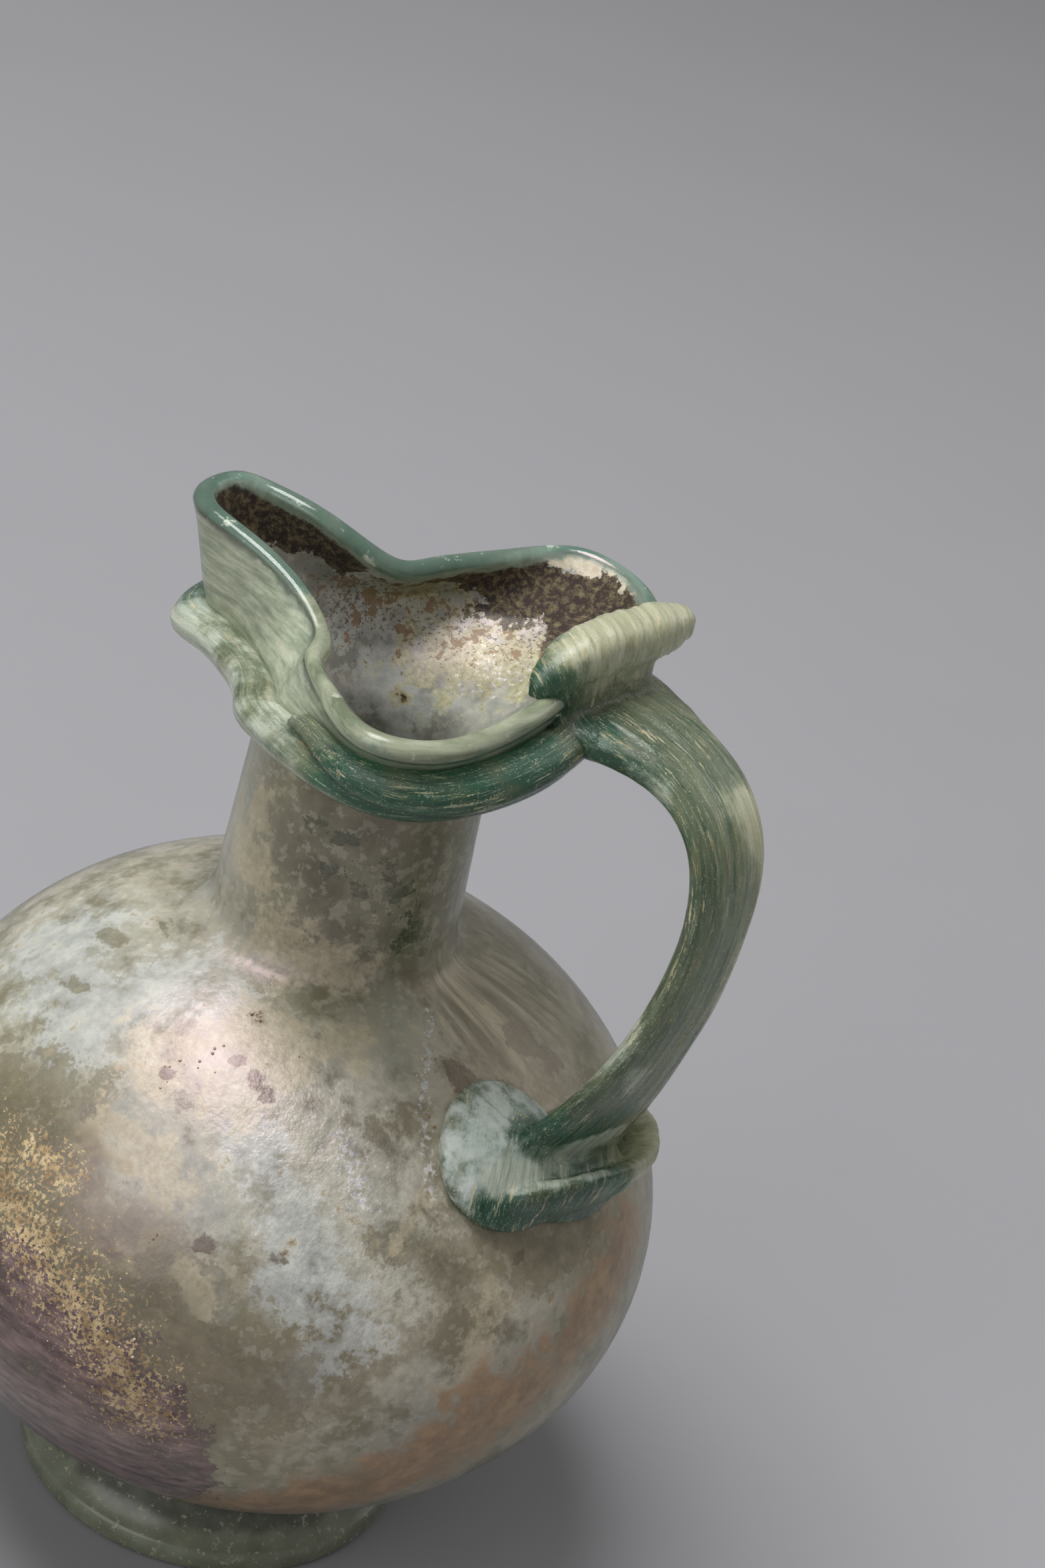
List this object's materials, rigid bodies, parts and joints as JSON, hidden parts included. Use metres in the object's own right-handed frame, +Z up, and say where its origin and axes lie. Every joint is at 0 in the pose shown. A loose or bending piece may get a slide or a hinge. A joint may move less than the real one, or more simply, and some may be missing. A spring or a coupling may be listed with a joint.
{
  "type": "glass jug",
  "caption": "Small ancient free-blown glass jug with a round body, narrow neck, pinched trefoil mouth, strap handle with thumb rest, wound thread below the lip and an applied foot.",
  "frame": {"origin": "centre of the flat underside of the foot, on the axis of the body", "axes": "+Z up along the axis of body and neck, +X towards the handle, -X towards the spout, +Y to the left of the spout as the handle is held"},
  "size_m": [0.0746, 0.074, 0.1024],
  "materials": {
    "vessel_glass": "free-blown pale green glass, weathered to a pitted, crusted and iridescent skin",
    "foot_glass": "pressed grey-green glass, lightly weathered",
    "thread_glass": "hot-wound blue-green glass, glossy with fine streaks",
    "handle_glass": "hot-drawn blue-green glass with fine lengthwise ribs"
  },
  "bodies": {
    "root": {"vessel": "vessel_glass", "foot": "foot_glass", "rim_thread": "thread_glass", "handle": "handle_glass"}
  },
  "joints": []
}
